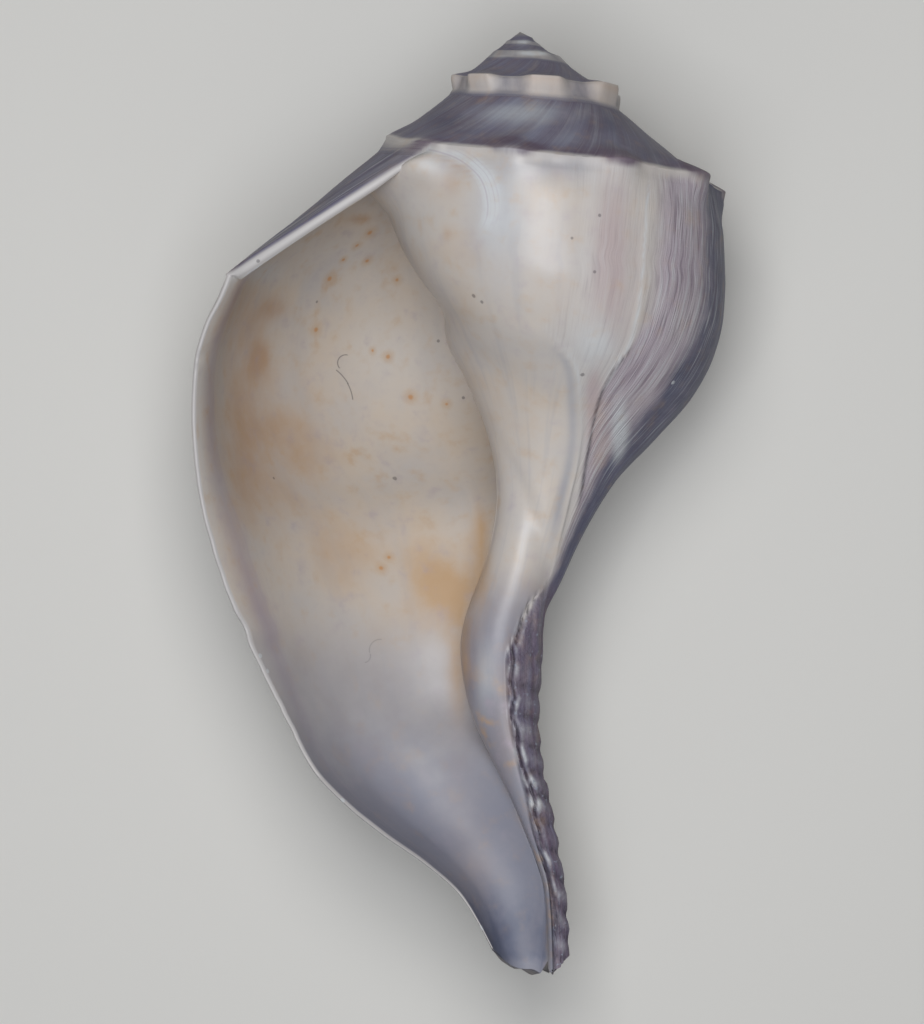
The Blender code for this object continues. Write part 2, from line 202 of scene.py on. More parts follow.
def curve(points, x):
    """A smooth curve through a few (x, y) points that never overshoots them, read at x."""
    px, py = np.array(points, float).T
    step = np.diff(px)
    slope = np.diff(py) / step
    tangent = np.concatenate([slope[:1], np.zeros(len(px) - 2), slope[-1:]])
    same_way = slope[:-1] * slope[1:] > 0
    before, after = 2 * step[1:] + step[:-1], step[1:] + 2 * step[:-1]
    with np.errstate(divide="ignore", invalid="ignore"):
        mean = (before + after) / (before / slope[:-1] + after / slope[1:])
    tangent[1:-1] = np.where(same_way, mean, 0.0)
    x = np.asarray(x, float)
    k = np.clip(np.searchsorted(px, x) - 1, 0, len(px) - 2)
    f = np.clip((x - px[k]) / step[k], 0, 1)
    return (
        (2 * f**3 - 3 * f**2 + 1) * py[k]
        + (f**3 - 2 * f**2 + f) * step[k] * tangent[k]
        + (3 * f**2 - 2 * f**3) * py[k + 1]
        + (f**3 - f**2) * step[k] * tangent[k + 1]
    )


def smooth(a, b, x):
    """0 up to a, 1 from b on, with a soft start and end."""
    f = np.clip((x - a) / (b - a), 0, 1)
    return f * f * (3 - 2 * f)


def soft_max(a, b, sharpness=5.0):
    """The larger of two radii, with a fillet where they meet."""
    a, b = np.maximum(a, 1e-3), np.maximum(b, 1e-3)
    most = np.maximum(a, b)
    return most * ((a / most) ** sharpness + (b / most) ** sharpness) ** (1 / sharpness)


def hump(x, middle, width):
    return np.exp(-(((x - middle) / width) ** 2))


def wander(x, spacing, seed):
    """Seeded ups and downs between -1 and 1 along x, one for each spacing."""
    values = np.random.default_rng(seed).uniform(-1, 1, 4096)
    k = np.asarray(x, float) / spacing + 2048
    whole = np.floor(k).astype(int)
    f = smooth(0, 1, k - whole)
    return values[whole % 4096] * (1 - f) + values[(whole + 1) % 4096] * f


def mottle(x, y, spacing_x, spacing_y, seed):
    """Seeded ups and downs between -1 and 1 over a surface."""
    values = np.random.default_rng(seed).uniform(-1, 1, (256, 256))
    kx, ky = np.broadcast_arrays(np.asarray(x, float) / spacing_x + 512, np.asarray(y, float) / spacing_y + 512)
    ix, iy = np.floor(kx).astype(int), np.floor(ky).astype(int)
    fx, fy = smooth(0, 1, kx - ix), smooth(0, 1, ky - iy)
    left = values[ix % 256, iy % 256] * (1 - fy) + values[ix % 256, (iy + 1) % 256] * fy
    right = values[(ix + 1) % 256, iy % 256] * (1 - fy) + values[(ix + 1) % 256, (iy + 1) % 256] * fy
    return left * (1 - fx) + right * fx


def in_picture(points):
    """Across and down in the picture's pixels, for points (x, h, z) in mm."""
    x, h, z = np.moveaxis(np.asarray(points, float), -1, 0)
    cos, sin = math.cos(SLANT), math.sin(SLANT)
    size = CAMERA_DISTANCE / (CAMERA_DISTANCE - z) / MM_PER_PIXEL
    middle_x, middle_y = camera_offset()
    dx, dy = x - middle_x, -h - middle_y
    return PICTURE_WIDTH / 2 + (dx * cos - dy * sin) * size, PICTURE_HEIGHT / 2 - (dx * sin + dy * cos) * size


def under_pixel(across, down, z):
    """Where the point at height z that is seen at a pixel of the picture is on the floor, in metres."""
    size = CAMERA_DISTANCE / (CAMERA_DISTANCE - z) / MM_PER_PIXEL
    right, up = (across - PICTURE_WIDTH / 2) / size, (PICTURE_HEIGHT / 2 - down) / size
    cos, sin = math.cos(SLANT), math.sin(SLANT)
    middle_x, middle_y = camera_offset()
    x, h = middle_x + right * cos + up * sin, right * sin - up * cos - middle_y
    return 0.001 * (AXIS_X + x), 0.001 * (APEX_Y - h), 0.0


def camera_offset():
    """How far right of the axis, and how far up from the apex, the camera stands, mm."""
    right = (PICTURE_WIDTH / 2 - APEX_PIXEL[0]) * MM_PER_PIXEL
    up = -(PICTURE_HEIGHT / 2 - APEX_PIXEL[1]) * MM_PER_PIXEL
    cos, sin = math.cos(SLANT), math.sin(SLANT)
    return right * cos + up * sin, -right * sin + up * cos


def growth(t):
    return np.exp(GROWTH_PER_DEGREE * t)


def shoulder(t):
    """Height of the shoulder, the corner between the sloping ramp and the side of a whorl."""
    return curve(SHOULDER_HEIGHT, t)


def knob_wave(t):
    """1 at the middle of each knob and 0 between knobs. The last whorl's are round, older ones are blocks."""
    wave = np.cos(2 * np.pi * curve(KNOB_NUMBER, t))
    rounded, blocks = (0.5 + 0.5 * wave) ** 2.2, smooth(-0.85, 0.6, wave)
    uneven = 0.8 + 0.2 * wander(curve(KNOB_NUMBER, t) + 0.5, 1.0, 71)
    return (rounded + (blocks - rounded) * (1 - smooth(-260, -170, t))) * smooth(-900, -560, t) * uneven


def suture(t):
    """Height at which the next whorl covers this one. It sags under each knob of the spire."""
    sag = 0.35 * growth(t + 300) * (knob_wave(t) - 0.5) * (1 - smooth(-260, -170, t))
    return shoulder(t) * (1.27 - 0.26 * smooth(-400, ATTACH_ANGLE, t)) + sag * smooth(-1400, -800, t)


def cone(t):
    """How much the youngest whorls' shoulders are worn back, so that they make one smooth cone."""
    return 0.15 * (1 - smooth(-640, -480, t))


def seam(t):
    """Height at which the inside of the last whorl meets the whorl before it."""
    return suture(t) + SUTURE_STEP * growth(np.minimum(t, 0)) / growth(ATTACH_ANGLE)


def centre(h):
    return curve(CENTRE_LINE, h)


def place(t, r, h):
    """(x, h, z) of a point at angle t, radius r about the centre line, and height h."""
    a = np.radians(t)
    return np.stack(np.broadcast_arrays(centre(h) + r * np.cos(a), h, -r * np.sin(a)), -1)


def lip_line(f, kind):
    """Angle of the lip's edge along a row."""
    f = np.asarray(f, float)
    if kind == "ramp":
        start = ATTACH_ANGLE + 360
        return start + (SHOULDER_LIP_ANGLE - start) * f**0.72
    if kind == "face":
        return np.full_like(f, SHOULDER_LIP_ANGLE)
    top = seam(SHOULDER_LIP_ANGLE)
    h = top + f * (LENGTH - top)
    chips = sum(depth * hump(h, where, width) for where, depth, width in LIP_CHIPS)
    ragged = (0.25 * wander(h, 4.0, 11) + 0.15 * wander(h, 1.7, 12)) * smooth(0.02, 0.1, f)
    return curve(LIP_ANGLE, h) - chips + ragged


def start_line(f):
    """Angle at which a body row starts: where the lip's edge would be one turn before, and the lip's
    attachment at the top row."""
    top = seam(SHOULDER_LIP_ANGLE)
    before = curve(LIP_ANGLE, top + f * (LENGTH - top)) - 360
    return before + (ATTACH_ANGLE - before) * np.exp(-f / 0.05)


def turn_shares(count):
    """Shares of a turn at which columns stand, closer together where the shell shows more."""
    where, density = np.array(COLUMN_DENSITY).T
    fine = np.linspace(0, 1, 2001)
    total = np.concatenate([[0], np.cumsum(np.interp((fine[1:] + fine[:-1]) / 2, where, density))])
    return np.interp(np.linspace(0, 1, count + 1), total / total[-1], fine)


def lump_phase(t, h):
    """Counts the lumps of the fasciole, each the old end of a canal."""
    return (h - 0.04 * (t + 60) + 1.3 * wander(h, 11, 31)) / LUMP_SPACING


def crack_line_at(down):
    """Where the crack beside the fasciole is across the picture, straying about the callus's edge."""
    return curve(CALLUS_EDGE, down) + 2.6 * wander(down, 17, 41) + 1.4 * wander(down, 6, 42)


def lip_layers(age, h):
    """1 along each of the last layers that the lip left before it stopped. Each comes and goes down the lip."""
    back = SHOULDER_LIP_ANGLE - age + 0.5 * wander(h, 9, 14)
    return sum(
        hump(back, where, width) * (0.6 + 0.4 * wander(h, 7, 15 + k))
        for k, (where, width) in enumerate(LIP_LAYERS))


class Form:
    """The shell's outline and relief, with the sizes that a user may change."""

    def __init__(self, sizes):
        for name in ShellSizes.__annotations__:
            setattr(self, name, 1000 * getattr(sizes, name))

    def tip(self, t):
        """Height of the canal's ragged end, a little shorter at the lip and at the right side."""
        smooth_end = LENGTH - 5.5 * hump(t, 208, 28) - 4.0 * hump(t, 5, 50) + 1.2 * hump(t, 105, 45)
        return smooth_end + 0.55 * wander(t, 17, 21) + 0.35 * wander(t, 6, 22)

    def cord(self, t, h):
        """1 on the fasciole, the raised cord of old canal ends down the columella's right side."""
        edge = curve(FASCIOLE_START, h)
        return smooth(edge - 6, edge + 14, t) * (1 - smooth(-20, 45, t)) * smooth(114, 128, h)

    def pillar(self, t, h):
        """Radius of the columella, which swells on the side of the opening and bears the fasciole."""
        swelling = 2.4 * hump(h, 132, 16) * hump(t, -168, 50)
        pared = 0.9 * smooth(140, 182, h) * hump(t, -175, 70)
        return curve(PILLAR_RADIUS, h) * (1 - pared) + swelling + self.fasciole_height * self.cord(t, h)

    def radius(self, t, h):
        """Outer radius about the centre line at and below the shoulder."""
        t, h = np.broadcast_arrays(np.asarray(t, float), np.asarray(h, float))
        first = shoulder(0.0)
        grown = growth(t) * curve(BODY_RADIUS, h * first / shoulder(np.minimum(t, 0)))
        top = shoulder(np.maximum(t, 0))
        u = np.clip((h - top) / (LENGTH - top), 0, 1)
        start = curve(BODY_RADIUS, first + u * (LENGTH - first))
        lip_height = shoulder(SHOULDER_LIP_ANGLE) + u * (LENGTH - shoulder(SHOULDER_LIP_ANGLE))
        end = curve(LIP_RADIUS, lip_height) + centre(lip_height)
        leaves = curve(WALL_LEAVES_PILLAR, h)
        soft = 12.0
        x = soft * np.log1p(np.exp(np.clip((t - leaves) / soft, -30, 30))) / (OPENING_END_ANGLE - leaves)
        rate = curve(OPENING_RATE, u)
        opened = start + (rate * x + (1 - rate) * x * x) * (end - start)
        newest = smooth(-10, 10, t)
        return soft_max(grown * (1 - newest) + opened * newest, self.pillar(t, h))

    def with_knobs(self, t, r, h, knobs):
        """Pushes the knobs along the shoulder outward. They fade toward the lip."""
        if not knobs:
            return r, h
        top = shoulder(t)
        older = 1 - smooth(-300, -200, t)
        size = self.knob_height * growth(np.minimum(t, 0))
        size = size * (1 + 0.4 * smooth(-110, -50, t)) * (1 - 0.6 * smooth(60, 190, t))
        size = size * (1 + 1.3 * older * smooth(-900, -560, t))
        spread = np.where(h < top, 0.10 - 0.02 * older, 0.14 + 0.12 * older) * top
        push = size * knob_wave(t) * hump(h, top, spread)
        return r + push, h - 0.25 * push

    def ramp_point(self, t, f, knobs=True):
        """A point of the ramp between the suture above (f 0) and the shoulder (f 1)."""
        r0, h0 = self.radius(t - 360, suture(t - 360)), suture(t - 360)
        r1, h1 = self.radius(t, shoulder(t)), shoulder(t)
        bend = 0.68 - 0.16 * smooth(-400, 0, t)
        r1 = r1 * (1 - cone(t))
        rc, hc = r0 + 0.5 * (r1 - r0), h0 + bend * (h1 - h0)
        r = (1 - f) ** 2 * r0 + 2 * f * (1 - f) * rc + f * f * r1
        h = (1 - f) ** 2 * h0 + 2 * f * (1 - f) * hc + f * f * h1
        return self.with_knobs(t, r, h, knobs)

    def face_point(self, t, f, knobs=True):
        """A point of the side between the shoulder (f 0) and the suture below (f 1)."""
        h = shoulder(t) + f * (suture(t) - shoulder(t))
        return self.with_knobs(t, self.radius(t, h) * (1 - cone(t) * (1 - f)), h, knobs)

    def body_point(self, t, f, knobs=True):
        """A point of the last whorl between the suture below (f 0) and the canal's end (f 1)."""
        h = seam(t) + f * (self.tip(t) - seam(t))
        return self.with_knobs(t, self.radius(t, h), h, knobs)

    def pad(self, across, down):
        """Thick callus under the lip's attachment."""
        along = (0.51 * (down - 153) - 0.86 * (across - 424)) / 70
        aside = 0.51 * (across - 424) + 0.86 * (down - 153)
        across_it = smooth(-4, 9, aside) * hump(np.maximum(aside - 9, 0), 0, 20)
        return PAD_THICKNESS * smooth(-0.35, 0.1, along) * (1 - smooth(0.75, 1.25, along)) * across_it

    def relief(self, t, h, age, ramp, across, down, glaze):
        """How far the surface stands out from the plain form, mm."""
        whorl = np.clip(self.radius(t, np.maximum(h, shoulder(t))) / 42, 0.1, 1.2)
        cord = self.cord(t, h)
        rough = (1 - glaze) * (1 - cord)
        lines = 0.55 * wander(age, 6.5, 1) + 0.35 * wander(age, 2.6, 2) + 0.3 * wander(age, 1.3, 3) * ramp
        lines += 0.25 * mottle(age, h, 3.0, 30, 4)
        out = self.growth_line_height * lines * rough * whorl
        near_lip = (t > 150) * (1 - smooth(212, 227, t))
        out += self.lamina_height * lip_layers(age, h) * (ramp + 0.2 * (1 - ramp) * rough) * near_lip
        ridge = hump(across, curve(GROWTH_RIDGE, down), 3.0) * smooth(36, 44, h)
        out += RIDGE_HEIGHT * ridge * rough * (t < 0) * (t > -120)
        lumps = np.abs(np.sin(np.pi * lump_phase(t, h))) ** 0.6 * (0.75 + 0.25 * wander(h, 6, 33))
        lumps += 0.3 * mottle(t, h, 22, 2.4, 32) + 0.12 * mottle(t, h, 9, 1.1, 34)
        out += self.lump_height * (lumps - 0.6) * cord * smooth(124, 142, h)
        out += 0.3 * mottle(t - 0.9 * (h - 120), h, 9, 9, 35) * cord * (1 - smooth(128, 145, h))
        out += 0.5 * hump(h, 1.0, 1.0) * (t < -1000)
        ledge = 0.3 * hump(h - shoulder(t), -0.3, 0.7) - 0.4 * hump(h - shoulder(t), 1.3, 0.8)
        out += ledge * (t > -140) * (1 - 0.5 * knob_wave(t))
        out += self.pad(across, down) * (t < -90) * (t > -175)
        below = smooth(318, 345, down) * (t < 0)
        out += self.callus_step * glaze * below * (1 - smooth(585, 640, down))
        bead = hump(across, curve(CALLUS_EDGE, down) - 2.0, 3.2) * below * (1 - smooth(500, 600, down))
        out += BEAD_HEIGHT * bead * (t > -150)
        crack = hump(across, crack_line_at(down), 1.5 + 0.5 * wander(down, 14, 43))
        out -= self.crack_depth * crack * smooth(580, 608, down) * (1 - smooth(925, 950, down)) * (t < 0)
        return out


class Cage:
    """Vertices, what is known about each, and faces, as they are added."""

    KNOWN = ("angle", "age", "spiral", "from_lip", "ramp", "face", "inner_wall", "outer_wall", "rim")

    def __init__(self):
        self.points = []
        self.known = {name: [] for name in self.KNOWN}
        self.faces = []
        self.count = 0

    def add(self, points, **known):
        """Index of each point, in the array's shape."""
        points = np.asarray(points, float)
        shape = points.shape[:-1]
        self.points.append(points.reshape(-1, 3))
        for name in self.KNOWN:
            self.known[name].append(np.broadcast_to(known.get(name, 0.0), shape).reshape(-1))
        first = self.count
        self.count += points.size // 3
        return np.arange(first, self.count).reshape(shape)

    def skin(self, grid):
        """Quads over a grid of indices. Corners that are one vertex make a triangle."""
        corners = np.stack([grid[:-1, :-1], grid[1:, :-1], grid[1:, 1:], grid[:-1, 1:]], -1).reshape(-1, 4)
        for quad in corners.tolist():
            self.face(quad)

    def face(self, loop):
        once = list(dict.fromkeys(loop))
        if len(once) > 2:
            self.faces.append(once)

    def gather(self):
        """All points and all that is known about them, as arrays."""
        return np.concatenate(self.points), {name: np.concatenate(parts) for name, parts in self.known.items()}


def glaze_over(points, t):
    """1 where the callus covers the front of the last whorl and the columella."""
    across, down = in_picture(points)
    edge = curve(CALLUS_EDGE, down)
    width = 2.5 + 26 * (1 - smooth(300, 345, down))
    front = smooth(-0.5, 2.0, points[..., 2]) * (t < 0)
    return (1 - smooth(edge - width, edge + 1, across)) * front


def outer_rows(form, point, kind, t, f, lip):
    """Points of some rows of the outer surface with their relief, and what is known about them."""
    r, h = point(t, f)
    plain = place(t, r, h)
    age = t - (lip - SHOULDER_LIP_ANGLE)
    ramp = (1 - smooth(0.9, 1.0, f)) if kind == "ramp" else 0.0 * f
    across, down = in_picture(plain)
    glaze = glaze_over(plain, t) * (kind == "body") * smooth(0.0, 0.02, f)
    r = r + form.relief(t, h, age, ramp, across, down, glaze)
    spiral = (h - shoulder(t)) * LENGTH / (LENGTH - shoulder(t))
    known = {"angle": t, "age": age, "spiral": spiral, "ramp": ramp, "face": 1.0 * (kind == "face"),
             "from_lip": FAR_FROM_LIP}
    return place(t, r, h), known


def cut(known, shape, rows=slice(None), columns=slice(None)):
    """What is known about some rows and columns of a grid of points."""
    return {name: np.broadcast_to(value, shape)[rows, columns] for name, value in known.items()}


def row_fractions():
    """Fractions of the ramp rows, close together near the shoulder, of the face rows and of the body rows."""
    ramp = 1 - (1 - np.arange(RAMP_ROWS) / RAMP_ROWS) ** 1.3
    return ramp, np.linspace(0, 1, FACE_ROWS), np.linspace(0, 1, BODY_ROWS) ** 1.12


def spire(cage, form):
    """The whorls up to the one that bears the lip, each sewn to the one before along its suture."""
    ramp, face, _ = row_fractions()
    turn = COLUMNS_PER_TURN
    k = np.arange(7 * turn // 2 + 1) + turn // 2
    t = ATTACH_ANGLE + 360 * (k // turn - 4 + turn_shares(turn)[k % turn])
    grid = np.empty((len(ramp) + len(face), len(k)), int)
    f = ramp[:, None]
    points, known = outer_rows(form, form.ramp_point, "ramp", t[None, :], f, lip_line(f, "ramp"))
    shape = points.shape[:-1]
    grid[1:len(ramp)] = cage.add(points[1:], **cut(known, shape, slice(1, None)))
    grid[0, :turn] = cage.add(points[0, :turn], **cut(known, shape, 0, slice(turn)))
    f = face[:, None]
    points, known = outer_rows(form, form.face_point, "face", t[None, :], f, lip_line(f, "face"))
    grid[len(ramp):] = cage.add(points, **known)
    grid[0, turn:] = grid[-1, :len(k) - turn]
    cage.skin(grid)
    apex = cage.add([0.0, 0.4, 0.0])
    rim = list(grid[0, :turn]) + list(grid[:0:-1, 0])
    for a, b in zip(rim, rim[1:] + rim[:1]):
        cage.face([int(a), int(b), int(apex)])
    return grid


def last_whorl(cage, form, spire_grid):
    """The whorl that bears the lip, down to the canal's end. Its outer side only."""
    ramp, face, body = row_fractions()
    share = turn_shares(COLUMNS_PER_TURN)[None, :]
    upper = len(ramp) + len(face)
    grid = np.empty((upper + len(body), COLUMNS_PER_TURN + 1), int)
    grid[0] = spire_grid[-1, -grid.shape[1]:]
    grid[:upper, 0] = spire_grid[:, -1]
    first = 1
    parts = (
        ("ramp", form.ramp_point, ramp[1:, None], ATTACH_ANGLE),
        ("face", form.face_point, face[:, None], ATTACH_ANGLE),
        ("body", form.body_point, body[:, None], start_line(body[:, None])),
    )
    for kind, point, f, start in parts:
        lip = lip_line(f, kind)
        t = start + share * (lip - start)
        points, known = outer_rows(form, point, kind, t, f, lip)
        known["from_lip"] = np.radians(lip - t) * MM_PER_RADIAN
        new = slice(0 if kind == "body" else 1, None)
        grid[first:first + len(f), new] = cage.add(points[:, new], **cut(known, points.shape[:-1], columns=new))
        first += len(f)
    cage.skin(grid)
    return grid


def offset_inward(point, t, f, thickness):
    """A row's (r, h) moved into the wall, square to the outline."""
    small = 1e-3
    r, h = point(t, f, False)
    r0, h0 = point(t, np.maximum(f - small, 0), False)
    r1, h1 = point(t, np.minimum(f + small, 1), False)
    length = np.hypot(r1 - r0, h1 - h0)
    return r - thickness * (h1 - h0) / length, h + thickness * (r1 - r0) / length


def rounded_inside(rows, corner, q):
    """Rows of the hollow's outer wall with the corner under the shoulder rounded off, behind the lip's edge."""
    near = hump(np.arange(len(rows)), corner, 16)[1:-1, None, None] * (1 - np.exp(-q / 5))[None, :, None]
    for _ in range(60):
        rows[1:-1] += near * 0.5 * (0.5 * (rows[:-2] + rows[2:]) - rows[1:-1])
    return rows


def lumen(cage, form, outer):
    """The hollow of the tube, seen through the opening. Its outer wall is the shell's wall, and its inner
    wall is the whorl before and the columella. Columns run back in time from the lip by the angle q."""
    ramp, face, body = row_fractions()
    upper = len(ramp) + len(face)
    q = LUMEN_DEPTH_ANGLE * np.linspace(0, 1, LUMEN_COLUMNS + 1) ** 1.65
    here = LIP_MIDDLE_ANGLE - q
    is_open = here >= OPEN_ANGLE
    floor = curve(LUMEN_FLOOR, here)
    full = form.wall_thickness * growth(np.minimum(0, here - 60))
    thickness = form.lip_thickness + (full - form.lip_thickness) * (1 - np.exp(-q / THICKENING_ANGLE))

    def end_of(t):
        return np.where(is_open, form.tip(t), np.minimum(floor, form.tip(t)))

    shelf = SHELF_THICKNESS * np.exp(-q / 14)
    bevel = BEVEL_THICKNESS * (1 - np.exp(-q / 4)) * np.exp(-q / 28)

    rows, angles = [], []
    for f in ramp[1:]:
        t = lip_line(f, "ramp") - q
        r, h = offset_inward(form.ramp_point, t, f, thickness + shelf * smooth(0, 0.3, f))
        r_top, h_top = offset_inward(form.ramp_point, t, 0.0, thickness)
        corner = seam(t - 360)
        pull = (1 - f) ** 2
        rows.append(place(t, r + pull * (form.radius(t - 360, corner) - r_top), h + pull * (corner - h_top)))
        angles.append(t)
    for f in face:
        t = SHOULDER_LIP_ANGLE - q
        rows.append(place(t, *offset_inward(form.face_point, t, f, thickness + bevel)))
        angles.append(t)
    for f in body:
        t = lip_line(f, "body") - q
        h = seam(t) + f * (end_of(t) - seam(t))
        slope = form.radius(t, h + 0.5) - form.radius(t, h - 0.5)
        inner = form.radius(t - 360, h)
        gap = np.where(is_open, LEAST_GAP, 2 * LEAST_GAP * np.sqrt(1 - f))
        wall = (thickness + bevel * (1 - smooth(100, 150, h))) * (1 - 0.72 * smooth(165, 197, h))
        r = form.radius(t, h) - wall * np.sqrt(1 + slope**2)
        r += smooth(140, 160, h) * smooth(172, 120, t) * (inner + gap - r)
        rows.append(place(t, np.maximum(r, inner + gap), h))
        angles.append(t)
    inner_rows, inner_angles = [], []
    for f in body:
        t = start_line(f) - q
        h = seam(t) + f * (end_of(t) - seam(t))
        r = form.radius(t, h)
        across, down = in_picture(place(t, r, h))
        callus = form.callus_step * smooth(318, 345, down) * (1 - smooth(585, 640, down))
        callus = callus + form.pad(across, down) * smooth(0, 0.02, f)
        inner_rows.append(place(t, r + callus * (1 - smooth(20, 60, q)), h))
        inner_angles.append(t)

    rows, inner_rows = np.array(rows), np.array(inner_rows)
    rows = rounded_inside(rows, len(ramp) + len(face) // 2, q)
    spiral = np.clip(rows[..., 1] - 45, 0, None)
    age = SHOULDER_LIP_ANGLE - q
    outside = cage.add(
        rows, angle=np.array(angles), age=age, spiral=spiral, from_lip=np.radians(q) * MM_PER_RADIAN,
        outer_wall=1.0)
    inside = np.empty((len(body), len(q)), int)
    inside[:, 0] = outer[upper:, 0]
    inside[:, 1:] = cage.add(
        inner_rows[:, 1:], angle=np.array(inner_angles)[:, 1:], age=age[1:] - 360,
        spiral=inner_rows[:, 1:, 1] - 35, from_lip=FAR_FROM_LIP, inner_wall=1.0)
    outside[-1, ~is_open] = inside[-1, ~is_open]
    cage.skin(np.vstack([inside[::-1], outside]))

    # The rounded rim of the lip
    points = np.concatenate(cage.points)
    edge, rim_inner = points[outer[1:, -1]], points[outside[:, 0]]
    onward = edge - points[outer[1:, -2]]
    onward /= np.linalg.norm(onward, axis=-1, keepdims=True)
    between = [outer[1:, -1]]
    for k in range(1, RIM_ROWS + 1):
        s = k / (RIM_ROWS + 1)
        bulge = 0.42 * np.linalg.norm(rim_inner - edge, axis=-1, keepdims=True) * math.sin(math.pi * s)
        row = edge + s * (rim_inner - edge) + onward * bulge
        between.append(cage.add(
            row, angle=LIP_MIDDLE_ANGLE, age=SHOULDER_LIP_ANGLE, spiral=row[:, 1] - 45, rim=1.0))
    between.append(outside[:, 0])
    rim = np.vstack(between)
    cage.skin(rim)
    cage.face([int(k) for k in [outer[0, -1], *rim[:, 0], inside[0, 0]]])
    closes = int(np.argmin(is_open))
    end = [*outer[-1, ::-1], *inside[-1, 1:closes], outside[-1, closes], *outside[-1, closes - 1::-1]]
    end += list(rim[-2:0:-1, -1])
    cage.face([int(k) for k in end])
    cage.face([int(k) for k in list(inside[::-1, -1]) + list(outside[:-1, -1])])


def arch_radius(across, down):
    """How far out a point is in the arched layers round the lip's attachment, in the picture's pixels."""
    return np.hypot(across - 428, 1.1 * (down - 205))


def patches(across, down, blobs):
    """Soft round patches, each (across, down, width, height, strength) in the picture's pixels."""
    return sum(s * hump(across, a, w) * hump(down, d, g) for a, d, w, g, s in blobs)


def shades(points, known):
    """How much of each colour a point has, from where it is on the shell, each from 0 to 1."""
    t, age, from_lip = known["angle"], known["age"], known["from_lip"]
    ramp, face, rim = known["ramp"], known["face"], known["rim"]
    inner, wall = known["inner_wall"], known["outer_wall"]
    h = points[:, 1]
    across, down = in_picture(points)
    spots = partial(patches, across, down)

    # Parts of the surface
    outside = (1 - inner) * (1 - wall) * (1 - rim)
    body = outside * (1 - ramp) * (1 - face)
    on_front = outside * smooth(-1, 5, points[:, 2]) * (t < 0)
    on_ramp = ramp * on_front
    glaze = np.maximum(glaze_over(points, t) * body, inner)
    bare = outside * (1 - glaze)
    top = shoulder(t)
    edge, ridge, crack_line = curve(CALLUS_EDGE, down), curve(GROWTH_RIDGE, down), crack_line_at(down)
    cord_start = curve(FASCIOLE_START, h)
    cord = outside * smooth(cord_start - 4, cord_start + 4, t) * smooth(114, 124, h) * (1 - smooth(0, 60, t))
    low_cord = cord * smooth(124, 142, h)
    lump_tops = np.abs(np.sin(np.pi * lump_phase(t, h)))
    low = smooth(125, 165, h)
    knobs = knob_wave(t) * hump(h, top, np.where(h < top, 0.02 * top + 0.5, 0.09 * top + 0.6))
    turned_right = outside * smooth(-30, -8, t) * (1 - smooth(8, 70, t)) * (h > top) * (1 - ramp)
    near_lip = outside * (t > 150) * (1 - smooth(212, 227, t))
    layered = near_lip * (ramp + 0.3 * (1 - ramp)) * smooth(165, 180, age)
    layers = lip_layers(age, h)
    below_step = on_front * smooth(335, 360, down)
    # A plum line along the last whorl's shoulder, widened above each knob into a painted shadow
    shoulder_line_and_knob_shadow = outside * (t > -200) * (0.15 + 0.85 * knob_wave(t)) * smooth(24, 25.5, h)
    shoulder_line_and_knob_shadow *= hump(h - top, -1.0, 0.7 + 1.3 * knob_wave(t))
    arch = arch_radius(across, down) + 2.5 * wander(across + down, 13, 62)
    arched = on_front * body * smooth(405, 430, across) * (1 - smooth(195, 240, down))

    slate = ramp + face * (1 - smooth(-300, -220, t)) * (0.6 - 0.36 * knob_wave(t))
    slate *= (0.8 - 0.45 * knobs) * (1 - 0.5 * smooth(180, 196, age) * (t > 150))
    slate += on_ramp * spots(RAMP_PATCHES["slate"])
    slate = np.maximum(slate, turned_right * (1 - smooth(120, 150, h)))
    slate += on_front * spots(FRONT_PATCHES["slate"])
    slate = np.maximum(slate, 0.45 * body * smooth(-10, 10, t) * (0.6 + 0.4 * wander(age, 9, 51)))
    slate = np.maximum(slate, 0.9 * layered * smooth(170, 182, age) * (1 - layers) * ramp)
    # On the fasciole, slate here and mauve and plum below darken the whole cord: partly its colour, partly painted
    # shade
    slate = np.maximum(slate, 0.6 * cord)
    # Darker towards the canal's end: partly the shell's own colour, partly painted shade where the light falls off
    slate += wall * (0.28 * smooth(740, 850, down) + 0.6 * smooth(870, 945, down))
    slate += 0.25 * glaze * smooth(590, 640, down) * (1 - smooth(680, 740, down))
    slate += 0.4 * glaze * smooth(800, 920, down)
    slate *= 1 - 0.6 * smooth(196.5, 199, h)
    slate = np.maximum(slate, outside * low * smooth(-40, 0, t) * 0.5)

    on_spire = np.maximum(0.12 * face, 0.2 * knobs) * smooth(-1000, -800, t)
    white = bare * np.where(t < ATTACH_ANGLE, on_spire, 0.3 * knobs)
    white += on_front * spots(FRONT_PATCHES["white"])
    white += on_ramp * spots(RAMP_PATCHES["white"])
    # Painted light high inside the opening
    white += wall * spots(WALL_PATCHES["white"])
    white += outside * spots([(534, 53, 15, 2.6, 0.9), (523, 42, 8, 2, 0.7), (500, 57, 9, 2, 0.4)])
    white += 0.35 * below_step * hump(across, edge - 1.0, 2.0) * (1 - smooth(480, 540, down))
    white += 0.6 * on_front * hump(across, ridge, 2.0) * smooth(160, 200, down) * (1 - smooth(330, 400, down))
    white += 0.5 * layered * layers
    white += (0.2 * rim + 0.4 * wall * (1 - smooth(1.0, 3.0, from_lip))) * (1 - 0.7 * smooth(440, 640, down))
    white += 0.8 * arched * hump(arch, 63, 7.0)
    # Painted highlights on the tops of the fasciole's lumps
    white += 0.4 * low_cord * lump_tops**2 * (0.6 + 0.4 * mottle(t, h, 25, 4, 36))
    flaky = on_front * (hump(across, crack_line + 4.5, 2.2) + hump(across, crack_line - 4.0, 2.0))
    flaky *= smooth(600, 640, down) * (1 - smooth(900, 950, down))
    white += 0.55 * flaky * (0.5 + 0.5 * wander(down, 11, 44))

